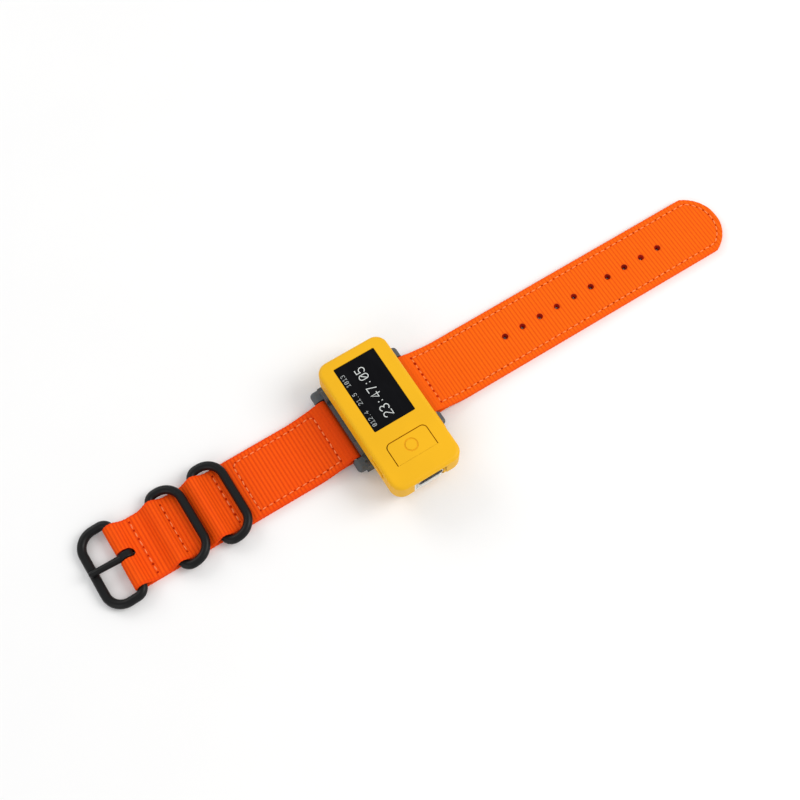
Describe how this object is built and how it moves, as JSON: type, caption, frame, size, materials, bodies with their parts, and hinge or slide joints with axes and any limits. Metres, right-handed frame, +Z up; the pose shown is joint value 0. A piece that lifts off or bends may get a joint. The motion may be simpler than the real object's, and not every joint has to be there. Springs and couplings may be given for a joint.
{
  "type": "wrist computer",
  "caption": "Stick-shaped wrist computer with a display and front button, in a cradle on a two-piece ribbed webbing strap with wire keeper rings and a wire buckle.",
  "frame": {"origin": "centre of the cradle's flat underside, midway between the two spring bars", "axes": "+X along the strap to the tip of the holed half, +Y along the unit to its header end, +Z up out of the display"},
  "size_m": [0.2341, 0.048, 0.0155],
  "materials": {
    "case_yellow": "fine moulded texture",
    "button_orange": "fine moulded texture",
    "display_black": "polished",
    "panel_glass": "polished",
    "white_plastic": "moulded",
    "board_green": "solder mask",
    "black_plastic": "moulded",
    "steel": "plain",
    "socket_steel": "bright",
    "contact_brass": "plated",
    "battery_foil": "foil",
    "foam": "open foam",
    "red_plastic": "clear moulded",
    "cradle_grey": "fine moulded texture",
    "webbing_orange": "ribbed webbing",
    "webbing_red": "ribbed webbing",
    "black_wire": "satin black coating"
  },
  "bodies": {
    "cradle": {"cradle": "cradle_grey", "right_bar_tube": "steel", "left_bar_tube": "steel", "right_bar_spring": "steel", "left_bar_spring": "steel"},
    "unit": {"front_case": "case_yellow", "rear_case": "case_yellow", "display_lens": "display_black", "display_panel": "panel_glass", "light_guide": "white_plastic", "main_board": "board_green", "radio_module": "steel", "board_chips": "black_plastic", "front_switch": "black_plastic", "side_switch": "black_plastic", "power_switch": "black_plastic", "usb_shell": "socket_steel", "usb_tongue": "black_plastic", "expansion_socket": "white_plastic", "expansion_pins": "contact_brass", "header_socket": "black_plastic", "header_contacts": "contact_brass", "battery": "battery_foil", "battery_pad": "foam", "buzzer": "black_plastic", "microphone": "steel", "status_light": "red_plastic", "case_screws": "steel"},
    "front_button": {"front_button": "case_yellow"},
    "side_button": {"side_button": "button_orange"},
    "power_button": {"power_button": "button_orange"},
    "right_upper_tip": {"right_upper_tip": "steel"},
    "right_lower_tip": {"right_lower_tip": "steel"},
    "left_upper_tip": {"left_upper_tip": "steel"},
    "left_lower_tip": {"left_lower_tip": "steel"},
    "strap_long": {"strap_long": "webbing_orange"},
    "strap_short": {"strap_short": "webbing_red"},
    "near_keeper_ring": {"near_keeper_ring": "black_wire"},
    "far_keeper_ring": {"far_keeper_ring": "black_wire"},
    "buckle_frame": {"buckle_frame": "black_wire"},
    "buckle_prong": {"buckle_prong": "black_wire"}
  },
  "joints": [
    {"name": "unit_release", "type": "slide", "parent": "cradle", "child": "unit", "axis": [0, 0, 1], "range_m": [0, 0.012]},
    {"name": "front_button_press", "type": "hinge", "parent": "unit", "child": "front_button", "pos_m": [0, -0.0234, 0.01485], "axis": [-1, 0, 0], "range_deg": [0, 2.2], "stiffness_Nm_per_rad": 0.02},
    {"name": "side_button_press", "type": "slide", "parent": "unit", "child": "side_button", "axis": [-1, 0, 0], "range_m": [0, 0.0003], "stiffness_N_per_m": 500},
    {"name": "power_button_press", "type": "slide", "parent": "unit", "child": "power_button", "axis": [1, 0, 0], "range_m": [0, 0.0003], "stiffness_N_per_m": 500},
    {"name": "right_upper_tip_slide", "type": "slide", "parent": "cradle", "child": "right_upper_tip", "axis": [0, -1, 0], "range_m": [0, 0.0013], "stiffness_N_per_m": 300, "deforming": ["right_bar_spring"]},
    {"name": "right_lower_tip_slide", "type": "slide", "parent": "cradle", "child": "right_lower_tip", "axis": [0, 1, 0], "range_m": [0, 0.0013], "stiffness_N_per_m": 300, "deforming": ["right_bar_spring"]},
    {"name": "left_upper_tip_slide", "type": "slide", "parent": "cradle", "child": "left_upper_tip", "axis": [0, -1, 0], "range_m": [0, 0.0013], "stiffness_N_per_m": 300, "deforming": ["left_bar_spring"]},
    {"name": "left_lower_tip_slide", "type": "slide", "parent": "cradle", "child": "left_lower_tip", "axis": [0, 1, 0], "range_m": [0, 0.0013], "stiffness_N_per_m": 300, "deforming": ["left_bar_spring"]},
    {"name": "strap_long_swing", "type": "hinge", "parent": "cradle", "child": "strap_long", "pos_m": [0.0143, 0, 0.0033], "axis": [0, -1, 0], "range_deg": [-90, 80]},
    {"name": "strap_short_swing", "type": "hinge", "parent": "cradle", "child": "strap_short", "pos_m": [-0.0143, 0, 0.0033], "axis": [0, 1, 0], "range_deg": [-90, 80]},
    {"name": "near_ring_swing", "type": "hinge", "parent": "strap_short", "child": "near_keeper_ring", "pos_m": [-0.0607, 0, 0.0025], "axis": [0, -1, 0], "range_deg": [0, 95]},
    {"name": "far_ring_swing", "type": "hinge", "parent": "strap_short", "child": "far_keeper_ring", "pos_m": [-0.0752, 0, 0.0025], "axis": [0, -1, 0], "range_deg": [0, 95]},
    {"name": "buckle_swing", "type": "hinge", "parent": "strap_short", "child": "buckle_frame", "pos_m": [-0.0886, 0, 0.00255], "axis": [0, 1, 0], "range_deg": [0, 100]},
    {"name": "prong_swing", "type": "hinge", "parent": "buckle_frame", "child": "buckle_prong", "pos_m": [-0.0886, 0, 0.00255], "axis": [0, 1, 0], "range_deg": [0, 30]}
  ]
}
